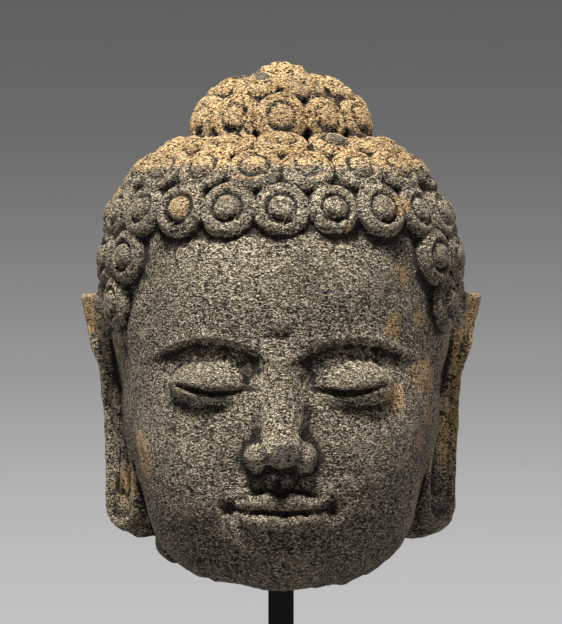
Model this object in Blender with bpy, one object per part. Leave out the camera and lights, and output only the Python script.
"""A carved stone head with snail-shell curls, set on a square steel post that stands in a steel plate.

The head looks along -Y, +Z is up, and the origin is the centre of the plate's underside. The stone is
carved from round forms, each given as a distance field: negative inside, zero on the surface. The forms
are laid out in parts of the head's height, 330 parts from the lowest point of the chin to the top of the
highest curl, and a mesh of the whole is drawn onto them. The post, the plate and their fits are in metres.
"""

import math
from typing import NamedTuple

import bmesh
import bpy
import numpy as np

# Driving dimensions, in metres
HEAD_HEIGHT = 0.330
POST_SIDE = 0.016
POST_IN_STONE = 0.075
CHIN_OVER_PLATE = 0.110
PLATE_SIDE = 0.240
PLATE_THICKNESS = 0.015
PLATE_UNDER_POST = 0.006
PLATE_EDGE_BEVEL = 0.0015
FIT_GAP = 0.0003

# The carving's own measure: one part of the head's height
PARTS_IN_HEIGHT = 330.0
PART = HEAD_HEIGHT / PARTS_IN_HEIGHT

# The mesh that is drawn onto the forms, in parts, and the faces that are kept of it
VOXEL = 2.4
HEAD_FACES = 9500

# The post stands a little behind the middle of the neck, under the head's centre of mass
POST_Y = 4.5 * PART


class Egg(NamedTuple):
    """A round mass, an ellipse in plan. A fullness above 2 gives it fuller shoulders."""

    centre: tuple
    radii: tuple
    fullness: float = 2.0


class Limb(NamedTuple):
    """A round bar between two points, with a radius at each end."""

    start: tuple
    end: tuple
    start_radius: float
    end_radius: float


# The face is three equal parts high: hairline to brow, brow to nose, nose to chin
THIRD = 76.0
BROW_Z = 2 * THIRD
NOSE_Z = THIRD
MOUTH_Z = THIRD * 2 / 3
# The face is five eyes wide
EYE_X = 41.0
EYE_Z = 130.0
EYE_HALF_WIDTH = 24.0

# Great masses
SKULL_AXIS_Y = 12.0
CRANIUM = Egg((0, SKULL_AXIS_Y, 187), (108, 107, 94), 2.85)
USHNISHA = Egg((0, 14, 281), (50, 49, 35), 2.5)
FACE = Egg((0, -4, 122), (99, 100, 122))
CHEEK = Egg((43, -58, 86), (38, 38, 42))
JAW = Egg((34, -40, 48), (44, 48, 40))
CHIN = Egg((0, -72, 25), (32, 30, 24))
FOREHEAD = Egg((0, -20, 188), (88, 87, 62))
NECK = Egg((0, 18, 62), (68, 60, 90), 2.4)
NECK_SPUR = Egg((-67, 2, 30), (12, 18, 15))
EAR_WEB = Egg((82, 14, 92), (20, 12, 62), 3.0)

# Features of the face
BROW_STEP = 4.2
BROW_RIDGE = 0.9
LID_LINE = 1.2
LIP_LINE = 1.2
MUZZLE = Egg((0, -78, 53), (37, 29, 31))
EYE_HOLLOW = Egg((23, -113, 136), (12, 13, 15))
EYEBALL = Egg((EYE_X, -80, EYE_Z - 2), (25.5, 23, 13))
UPPER_LID = Egg((EYE_X, -80, EYE_Z - 2), (27.5, 26, 15))
LOWER_LID = Egg((EYE_X, -80, EYE_Z - 5), (27, 25, 14))
NOSE_BRIDGE = Limb((0, -95.5, 146), (0, -111, 92), 10, 12.5)
NOSE_TIP = Egg((0, -116, NOSE_Z + 11.5), (10.5, 13, 9.5))
NOSE_WING = Egg((14.5, -105, NOSE_Z + 8), (7, 11.5, 8.5))
NOSTRIL = Egg((8, -113, NOSE_Z - 1), (4.5, 8, 4))
PHILTRUM = Limb((0, -114, NOSE_Z - 2), (0, -115, NOSE_Z - 12), 3.5, 4)
UPPER_LIP = (
    Limb((0, -107, 55.6), (8, -107.8, 57.2), 4.6, 5.2),
    Limb((8, -107.8, 57.2), (19, -104.5, 55.4), 5.2, 4.3),
    Limb((19, -104.5, 55.4), (30, -95.5, 52.6), 4.3, 1.6),
)
LOWER_LIP = (
    Limb((0, -106.6, 44.4), (9, -106.2, 44.8), 6.2, 6.0),
    Limb((9, -106.2, 44.8), (19, -102.6, 47.4), 6.0, 4.6),
    Limb((19, -102.6, 47.4), (29, -95.5, 51.4), 4.6, 1.6),
)
MOUTH_CORNER = Egg((32.5, -100.5, 52), (3.5, 4.5, 4))
CHIN_FOLD = Egg((0, -111.5, 32), (18, 7, 5))
FOREHEAD_MARK = Egg((0, -104.2, 165), (7, 4.5, 7))
# Where the nose has lost a flake: a point on the scar, and the way that the scar faces
NOSE_SCAR_POINT = (2.0, -125.0, 85.0)
NOSE_SCAR_FACES = (0.32, -0.86, -0.40)

# Curls: their spacing, and their shape as shares of it
CURL_PITCH = 32.5
CURL_ROW_GAP = 0.87 * CURL_PITCH
CURL_RADIUS = 0.555 * CURL_PITCH
CURL_RISE = 9.0
CURL_TURNS = 1.9
CURL_GROOVE = 2.4
FRONT_ROW_Z = 234.0
# Each ring on the bun: its elevation in degrees, its curls, and the share of a curl that it is turned by
USHNISHA_RINGS = ((12, 11, 0.0), (44, 7, 0.5), (72, 3, 0.0))
TOP_CURL_Z = 317.5
TOP_CURL_RISE = 12.5
# Where the curls are rubbed down, and by how much
WORN_HAIR = (Egg((36, -24, 306), (26, 36, 15)), Egg((108, -8, 250), (22, 56, 32)))
WEAR = 2.0
# The hairline: how far round from the front, in degrees, and how low hair grows there
HAIRLINE_TURN = (0, 36, 50, 62, 78, 100, 108, 125, 180)
HAIRLINE_Z = (232, 230, 204, 178, 176, 170, 110, 72, 62)

# Ear
EAR_TURN = math.radians(38)
EAR_TOP_Z = 184.0
EAR_LOBE_Z = 45.0
EAR_ROOT_X = 86.0
EAR_LEAN = 13.0
EAR_THICKNESS = 14.0
EAR_SHELL = Egg((20, 172), (25, 46))
EAR_LOBE = Limb((18, 125), (17, 52), 18.5, 18)
EAR_BOWL = Egg((17, 148), (9, 20))
EAR_RIDGE = Limb((26, 176), (19, 118), 0.5, 0.5)
EAR_SLIT = Limb((16, 106), (15.5, 62), 1.5, 2.5)

# The break under the jaw
BREAK_Z = 15.0
BREAK_SLOPE = 0.10


def blend_min(a, b, soft):
    """Joins two fields, with a fillet about as wide as soft."""
    share = np.clip(0.5 + 0.5 * (b - a) / soft, 0.0, 1.0)
    return b * (1 - share) + a * share - soft * share * (1 - share)


def blend_max(a, b, soft):
    """Keeps what is inside both fields, with a rounded edge about as wide as soft."""
    return -blend_min(-a, -b, soft)


def carve_out(form, hollow, soft):
    """Takes a hollow out of a form."""
    return blend_max(form, -hollow, soft)


def ease(low, high, x):
    """0 at low, 1 at high, and smooth between them."""
    t = np.clip((x - low) / (high - low), 0, 1)
    return t * t * (3 - 2 * t)


def bump(x, width):
    """1 at x = 0, and fading to nothing at about twice the width."""
    return np.exp(-((x / width) ** 2))


def egg(q, form):
    """Distance to an egg."""
    radii = np.array(form.radii, float)
    power = form.fullness
    rel = np.abs(q - np.array(form.centre, float)) / radii
    plan = np.linalg.norm(rel[:, :2], axis=1)
    size = np.maximum((plan**power + (rel[:, 2:] ** power).sum(axis=1)) ** (1 / power), 1e-6)
    flat = plan ** (power - 2) * np.linalg.norm(rel[:, :2] / radii[:2], axis=1)
    up = (rel[:, 2:] ** (power - 1) / radii[2:]).sum(axis=1)
    slope = size ** (1 - power) * np.hypot(flat, up)
    return (size - 1) / np.maximum(slope, 1e-9)


def limb(q, form):
    """Distance to a limb."""
    start = np.array(form.start, float)
    run = np.array(form.end, float) - start
    along = np.clip((q - start) @ run / (run @ run), 0, 1)
    radius = form.start_radius + along * (form.end_radius - form.start_radius)
    return np.linalg.norm(q - start - along[:, None] * run, axis=1) - radius


def both_sides(q):
    """The points with the left half folded onto the right, so that one form carves both."""
    folded = q.copy()
    folded[:, 0] = np.abs(folded[:, 0])
    return folded


def great_masses(q, m):
    """Skull, face, jaw and neck before any feature is cut."""
    form = blend_min(egg(q, FACE), egg(m, CHEEK), 24)
    form = blend_min(form, egg(m, JAW), 24)
    form = blend_min(form, egg(q, CHIN), 20)
    form = blend_min(form, egg(q, FOREHEAD), 22)
    form = blend_min(egg(q, CRANIUM), form, 6)
    form = blend_min(form, egg(q, NECK), 10)
    form = blend_min(form, egg(q, NECK_SPUR), 5)
    form = blend_min(form, egg(q, USHNISHA), 5)
    return blend_min(form, egg(q, MUZZLE), 18)


def bare_head(q):
    """The great masses alone, as roughed out before the features."""
    return break_off(great_masses(q, both_sides(q)), q)


def carve_brows(form, m):
    """Sets the eyes back under an arched ledge that runs into the bridge of the nose."""
    x, y, z = m.T
    span = x / 84
    drop = BROW_Z - 14.5 + 70 * span - 66 * span**2 - z
    ledge = ease(-1, 5, drop) * bump(np.maximum(drop - 5, 0), 15)
    place = ease(-40, -75, y) * ease(90, 66, x)
    form = form + place * (BROW_STEP * ledge - BROW_RIDGE * bump(drop, 3.5))
    return carve_out(form, egg(m, EYE_HOLLOW), 10)


def carve_nose(form, q, m):
    """Bridge, tip, wings and nostrils."""
    form = blend_min(form, limb(q, NOSE_BRIDGE), 9)
    form = blend_min(form, egg(q, NOSE_TIP), 7)
    form = blend_min(form, egg(m, NOSE_WING), 5)
    return carve_out(form, egg(m, NOSTRIL), 3)


def carve_eyes(form, m):
    """Lowered lids over a round eye, with a narrow opening between them."""
    x, y, z = m.T
    across = np.clip((x - EYE_X) / EYE_HALF_WIDTH, -1.05, 1.05)
    upper_edge = EYE_Z - 6.0 + 3.6 * across**2 + 1.2 * across
    lower_edge = EYE_Z - 9.6 + 7.2 * across**2 + 1.2 * across
    upper = blend_max(egg(m, UPPER_LID), upper_edge - z, 1.2)
    lower = blend_max(egg(m, LOWER_LID), z - lower_edge, 1.5)
    form = blend_min(form, egg(m, EYEBALL), 2)
    form = blend_min(form, upper, 2)
    form = blend_min(form, lower, 4)
    from_middle = np.abs(x - EYE_X)
    lid_line = bump(z - upper_edge + 0.6, 1.5) * ease(EYE_HALF_WIDTH + 2, EYE_HALF_WIDTH - 3, from_middle)
    return form + LID_LINE * lid_line * ease(-50, -62, y)


def carve_mouth(form, q, m):
    """Full lips that close on a soft line, their corners, and the folds above and below them."""
    for lip in (UPPER_LIP, LOWER_LIP):
        roll = limb(m, lip[0])
        for piece in lip[1:]:
            roll = blend_min(roll, limb(m, piece), 3)
        form = blend_min(form, roll, 2.5)
    x, y, z = m.T
    line = MOUTH_Z + 2.0 * (x / 30) ** 2 - 0.9 * bump(x, 6)
    form = form + LIP_LINE * bump(z - line, 2) * ease(36, 26, x) * ease(-85, -92, y)
    form = carve_out(form, egg(m, MOUTH_CORNER), 6)
    form = carve_out(form, limb(q, PHILTRUM), 5)
    return carve_out(form, egg(q, CHIN_FOLD), 9)


def ear_frame(m):
    """Each point across the ear and up it, and how far out of it. The ear's top leans out and back."""
    up = m[:, 2]
    lift = np.clip((up - EAR_LOBE_Z) / (EAR_TOP_Z - EAR_LOBE_Z), 0, 1.2)
    from_cheek = m[:, 0] - (EAR_ROOT_X + EAR_LEAN * lift**3)
    from_front = m[:, 1] + 8 - 10 * lift
    across = from_cheek * math.sin(EAR_TURN) + from_front * math.cos(EAR_TURN)
    out = from_cheek * math.cos(EAR_TURN) - from_front * math.sin(EAR_TURN)
    return np.column_stack([across, up]), out


def ear(m):
    """A long ear: a rim round the shell, a ridge in it, and a lobe with a worn slit."""
    flat, out = ear_frame(m)
    outline = blend_min(egg(flat, EAR_SHELL), limb(flat, EAR_LOBE), 10)
    outline = blend_max(outline, flat[:, 1] - EAR_TOP_Z, 3)
    rim = bump(outline + 4.5, 3.2)
    bowl = bump(np.maximum(egg(flat, EAR_BOWL) + 3, 0), 3.5)
    ridge = bump(limb(flat, EAR_RIDGE), 3)
    slit = bump(np.maximum(limb(flat, EAR_SLIT), 0), 3.5)
    front = out - (3.5 + 3.0 * rim - 7.0 * bowl + 2.0 * ridge - 2.8 * slit)
    slab = blend_max(front, -EAR_THICKNESS - out, 4)
    return blend_max(slab, outline, 4)


def break_off(form, q):
    """The rough break through the neck, behind the chin."""
    x, y, z = q.T
    ripple = 1.6 * np.sin(x / 9 + 1.0) * np.sin(y / 11) + 1.1 * np.sin(x / 5 - y / 6)
    level = BREAK_Z + BREAK_SLOPE * (y - 10) + ripple
    return blend_max(form, level - z - 30 * ease(-34, -56, y), 3)


def head_without_ears(q):
    """The carved head, without ears and curls."""
    m = both_sides(q)
    form = carve_brows(great_masses(q, m), m)
    form = carve_nose(form, q, m)
    form = carve_eyes(form, m)
    form = carve_mouth(form, q, m)
    form = blend_min(form, egg(q, FOREHEAD_MARK), 2)
    scar = (q - np.array(NOSE_SCAR_POINT)) @ np.array(NOSE_SCAR_FACES)
    form = np.where(q[:, 1] < -110, blend_max(form, scar, 1.5), form)
    return break_off(form, q)


def ear_and_web(q):
    """One pair of ears, each with the web of stone that is left between its lobe and the neck."""
    m = both_sides(q)
    return blend_min(ear(m), egg(m, EAR_WEB), 6)


def head_without_curls(q):
    """The carved head with its ears."""
    form = blend_min(head_without_ears(q), ear_and_web(q), 4)
    return break_off(form, q)


def normals_of(field, q, step=0.3):
    """Which way each point's surface faces: the way the field grows."""
    steps = np.eye(3) * step
    grows = np.column_stack([field(q + move) - field(q - move) for move in steps])
    return grows / np.linalg.norm(grows, axis=1, keepdims=True)


def reach(field, centre, directions, limit):
    """How far out from centre each direction last leaves the form."""
    centre = np.array(centre, float)
    stations = np.linspace(0, limit, 130)
    low = np.zeros(len(directions))
    for station in stations:
        low = np.where(field(centre + directions * station) < 0, station, low)
    high = low + stations[1]
    for _ in range(12):
        middle = (low + high) / 2
        inside = field(centre + directions * middle[:, None]) < 0
        low, high = np.where(inside, middle, low), np.where(inside, high, middle)
    return (low + high) / 2


def ring_directions(elevation, turns):
    """Directions at one elevation, turned round from the front. Angles are in radians."""
    flat = math.cos(elevation)
    up = np.full(len(turns), math.sin(elevation))
    return np.column_stack([np.sin(turns) * flat, -np.cos(turns) * flat, up])


def hair_grows(points):
    """True above the hairline and clear of the foot of the bun."""
    x, y, z = points.T
    turn = np.degrees(np.arctan2(np.abs(x), SKULL_AXIS_Y - y))
    bun_x, bun_y = USHNISHA.radii[:2]
    off_bun = np.hypot(x / bun_x, (y - USHNISHA.centre[1]) / bun_y) > 1.12
    return (z > np.interp(turn, HAIRLINE_TURN, HAIRLINE_Z)) & off_bun


def cranium(q):
    """The skull alone, which the rows of curls follow."""
    return egg(q, CRANIUM)


def bun(q):
    """The bun alone, which its own rings of curls follow."""
    return egg(q, USHNISHA)


def cap_rows():
    """Elevation of each row of curls, a row gap apart along the side of the skull, in radians."""
    elevations = np.radians(np.arange(-60, 89, 1.0))
    side = ring_directions(0, np.array([math.pi / 2]))[0]
    directions = np.outer(np.cos(elevations), side) + np.outer(np.sin(elevations), (0, 0, 1))
    profile = directions * reach(cranium, CRANIUM.centre, directions, 200)[:, None] + CRANIUM.centre
    steps = np.linalg.norm(np.diff(profile, axis=0), axis=1)
    lengths = np.concatenate([[0], np.cumsum(steps)])
    front_row = np.interp(FRONT_ROW_Z, profile[:, 2], lengths)
    first = math.ceil(-front_row / CURL_ROW_GAP)
    last = math.floor((lengths[-1] - front_row) / CURL_ROW_GAP)
    rows = np.arange(first, last + 1)
    return rows, np.interp(front_row + rows * CURL_ROW_GAP, lengths, elevations)


def cap_curls():
    """Centres of the curls on the skull, evenly along each row, with every second row half a curl round."""
    found = []
    turns = np.linspace(0, 2 * math.pi, 361)
    for row, elevation in zip(*cap_rows()):
        directions = ring_directions(elevation, turns)
        ring = directions * reach(cranium, CRANIUM.centre, directions, 200)[:, None] + CRANIUM.centre
        lengths = np.concatenate([[0], np.cumsum(np.linalg.norm(np.diff(ring, axis=0), axis=1))])
        count = max(round(lengths[-1] / CURL_PITCH), 1)
        stations = (np.arange(count) + 0.5 * (row % 2)) / count * lengths[-1]
        row_points = np.column_stack([np.interp(stations, lengths, ring[:, axis]) for axis in range(3)])
        found.append(row_points[hair_grows(row_points)])
    return np.vstack(found)


def bun_curls():
    """Centres of the curls on the bun, ring by ring."""
    found = []
    for elevation, count, shift in USHNISHA_RINGS:
        turns = (np.arange(count) + shift) / count * 2 * math.pi
        directions = ring_directions(math.radians(elevation), turns)
        found.append(directions * reach(bun, USHNISHA.centre, directions, 90)[:, None] + USHNISHA.centre)
    return np.vstack(found)


class Curls:
    """All the curls: low round shells on the hair, each with a groove that winds in to its middle."""

    def __init__(self):
        cap, on_bun = cap_curls(), bun_curls()
        top = np.array([[0, SKULL_AXIS_Y, TOP_CURL_Z]])
        self.centres = np.vstack([cap, on_bun, top])
        self.normals = np.vstack([normals_of(cranium, cap), normals_of(bun, on_bun), [[0, 0, 1]]])
        upright = np.abs(self.normals[:, 2:]) > 0.98
        side = np.cross(np.where(upright, (0, -1, 0), (0, 0, 1)), self.normals)
        self.side = side / np.linalg.norm(side, axis=1, keepdims=True)
        self.up = np.cross(self.normals, self.side)
        varied = np.random.default_rng(4).uniform(-1, 1, (3, len(self.centres)))
        self.radii = CURL_RADIUS * (1 + 0.05 * varied[0])
        self.rises = CURL_RISE * (1 + 0.08 * varied[1])
        self.rises[-1] = TOP_CURL_RISE
        self.phases = 0.12 * varied[2]

    def nearest(self, q, count=5):
        """The curls nearest to each point, as their numbers."""
        gaps = q[:, None, :].astype(np.float32) - self.centres[None].astype(np.float32)
        return np.argpartition((gaps**2).sum(axis=2), count, axis=1)[:, :count]

    def shell(self, q, chosen):
        """Distance to one chosen curl for each point."""
        rel = q - self.centres[chosen]
        out = (rel * self.normals[chosen]).sum(axis=1)
        over = (rel * self.side[chosen]).sum(axis=1)
        up = (rel * self.up[chosen]).sum(axis=1)
        radius, rise = self.radii[chosen], self.rises[chosen]
        from_middle = np.hypot(over, up) / radius
        size = np.hypot(from_middle, out / rise)
        slope = np.hypot(from_middle / radius, out / rise**2)
        shell = size * (size - 1) / np.maximum(slope, 1e-6)
        turn = (from_middle * CURL_TURNS + np.arctan2(up, over) / (2 * math.pi) + self.phases[chosen]) % 1
        fade = ease(0.12, 0.3, from_middle) * ease(1.0, 0.88, from_middle) * (out > 0)
        return shell + CURL_GROOVE * bump(turn - 0.5, 0.17) * fade

    def field(self, q, near):
        """Distance to the nearest of the curls that near names for each point, less what has worn away."""
        curls = np.min([self.shell(q, chosen) for chosen in near.T], axis=0)
        for zone in WORN_HAIR:
            curls += WEAR * ease(6, -6, egg(q, zone))
        return curls


def points_of(mesh):
    """The mesh's points as an array."""
    points = np.empty(len(mesh.vertices) * 3, np.float32)
    mesh.vertices.foreach_get("co", points)
    return points.reshape(-1, 3).astype(float)


def point_normals(mesh):
    """The mesh's normals at its points as an array."""
    normals = np.empty(len(mesh.vertices) * 3, np.float32)
    mesh.vertex_normals.foreach_get("vector", normals)
    return normals.reshape(-1, 3).astype(float)


def draw_on(mesh, field, rounds):
    """Moves the mesh's points along their normals onto the field's surface, evening out their spacing."""
    ends = np.array([edge.vertices[:] for edge in mesh.edges])
    count = len(mesh.vertices)
    neighbours = np.bincount(ends.ravel(), minlength=count)[:, None]
    points = points_of(mesh)
    for left in range(rounds, 0, -1):
        normals = point_normals(mesh)
        points = points - normals * np.clip(0.8 * field(points), -3, 3)[:, None]
        if left > 2:
            total = np.column_stack([
                np.bincount(ends[:, 0], points[ends[:, 1], axis], count)
                + np.bincount(ends[:, 1], points[ends[:, 0], axis], count)
                for axis in range(3)
            ])
            drift = total / neighbours - points
            points += 0.35 * (drift - normals * (drift * normals).sum(axis=1, keepdims=True))
        mesh.vertices.foreach_set("co", points.ravel())
        mesh.update()


def settle_on(mesh, field):
    """Moves the mesh's points the short way that is left to the field's surface, square to it."""
    points = points_of(mesh)
    points -= normals_of(field, points) * np.clip(field(points), -1.5, 1.5)[:, None]
    mesh.vertices.foreach_set("co", points.ravel())
    mesh.update()


def blown_ball(name, centre, field, fineness, limit):
    """A ball blown out from centre onto the field's surface."""
    bm = bmesh.new()
    bmesh.ops.create_icosphere(bm, subdivisions=fineness, radius=1.0)
    mesh = bpy.data.meshes.new(name)
    bm.to_mesh(mesh)
    bm.free()
    directions = points_of(mesh)
    directions /= np.linalg.norm(directions, axis=1, keepdims=True)
    points = directions * reach(field, centre, directions, limit)[:, None] + np.array(centre, float)
    mesh.vertices.foreach_set("co", points.ravel())
    mesh.update()
    return new_object(name, mesh)


def new_object(name, mesh):
    """Puts a mesh into the scene as an object."""
    obj = bpy.data.objects.new(name, mesh)
    bpy.context.scene.collection.objects.link(obj)
    return obj


def join(objects):
    """Joins the objects into the first one."""
    with bpy.context.temp_override(
        active_object=objects[0], object=objects[0], selected_editable_objects=objects
    ):
        bpy.ops.object.join()
    return objects[0]


def fuse(obj):
    """Makes overlapping shells one skin of even squares."""
    remesh = obj.modifiers.new("Fuse", "REMESH")
    remesh.mode = "VOXEL"
    remesh.voxel_size = VOXEL
    fused = bpy.data.meshes.new_from_object(obj.evaluated_get(bpy.context.evaluated_depsgraph_get()))
    obj.modifiers.clear()
    obj.data = fused


def carved_head():
    """The whole carving as one mesh in metres, with its chin's lowest point at z = 0."""
    pieces = [blown_ball("head", (0, 0, 150), bare_head, 5, 240)]
    for side in (1, -1):
        def this_ear(q, side=side):
            return np.where(side * q[:, 0] > 0, ear_and_web(q), 50.0)

        pieces.append(blown_ball("ear", (side * 98, 12, 110), this_ear, 4, 130))
    head = join(pieces)
    fuse(head)
    draw_on(head.data, head_without_curls, 8)
    curls = Curls()
    for rounds in (6, 5):
        fuse(head)
        near = curls.nearest(points_of(head.data))

        def dressed(q, near=near):
            return blend_min(head_without_curls(q), curls.field(q, near), 1)

        draw_on(head.data, dressed, rounds)
    settle_on(head.data, dressed)
    head.data.transform(np.diag([PART, PART, PART, 1]).tolist())
    return head


def block(name, width, low, high, centre_y=0.0):
    """A square upright block between two heights."""
    bm = bmesh.new()
    bmesh.ops.create_cube(bm, size=1.0)
    bmesh.ops.scale(bm, vec=(width, width, high - low), verts=bm.verts)
    bmesh.ops.translate(bm, vec=(0, centre_y, (high + low) / 2), verts=bm.verts)
    mesh = bpy.data.meshes.new(name)
    bm.to_mesh(mesh)
    bm.free()
    return new_object(name, mesh)


def cut(obj, cutter):
    """Takes the cutter's shape out of an object, and hides the cutter."""
    boolean = obj.modifiers.new("Cut " + cutter.name, "BOOLEAN")
    boolean.operation = "DIFFERENCE"
    boolean.solver = "EXACT"
    boolean.object = cutter
    cutter.hide_render = True
    cutter.display_type = "WIRE"


def material(name, colour, roughness, metallic):
    """A plain material."""
    made = bpy.data.materials.new(name)
    made.use_nodes = True
    shader = made.node_tree.nodes["Principled BSDF"]
    shader.inputs["Base Color"].default_value = (*colour, 1)
    shader.inputs["Roughness"].default_value = roughness
    shader.inputs["Metallic"].default_value = metallic
    return made


def build_head():
    """The stone head, lightened to flat faces, with the socket that the post stands in."""
    head = carved_head()
    head.name = "head"
    head.data.name = "head"
    head.location = (0, -POST_Y, PLATE_THICKNESS + CHIN_OVER_PLATE)
    lighten = head.modifiers.new("Lighten", "DECIMATE")
    lighten.ratio = HEAD_FACES / (2 * len(head.data.polygons))
    stone_under = PLATE_THICKNESS + CHIN_OVER_PLATE + BREAK_Z * PART
    socket = block("socket", POST_SIDE + 2 * FIT_GAP, PLATE_THICKNESS, stone_under + POST_IN_STONE)
    cut(head, socket)
    head.data.shade_smooth()
    head.data.materials.clear()
    head.data.materials.append(material("stone", (0.20, 0.18, 0.15), 0.9, 0.0))
    return head


def build_post(steel):
    """The square post, from the plate's pocket to just short of the socket's end."""
    stone_under = PLATE_THICKNESS + CHIN_OVER_PLATE + BREAK_Z * PART
    low = PLATE_UNDER_POST + FIT_GAP
    post = block("post", POST_SIDE, low, stone_under + POST_IN_STONE - FIT_GAP)
    post.data.materials.append(steel)


def build_plate(steel):
    """The square plate, with eased edges and the pocket that the post stands in."""
    plate = block("base_plate", PLATE_SIDE, 0, PLATE_THICKNESS)
    ease_edges = plate.modifiers.new("Ease edges", "BEVEL")
    ease_edges.width = PLATE_EDGE_BEVEL
    ease_edges.segments = 2
    pocket = block("pocket", POST_SIDE + 2 * FIT_GAP, PLATE_UNDER_POST, PLATE_THICKNESS + POST_SIDE)
    cut(plate, pocket)
    plate.data.materials.append(steel)


def main():
    """Builds the three pieces in an empty scene."""
    for obj in list(bpy.data.objects):
        bpy.data.objects.remove(obj)
    steel = material("black steel", (0.008, 0.010, 0.010), 0.5, 0.0)
    build_head()
    build_post(steel)
    build_plate(steel)


main()
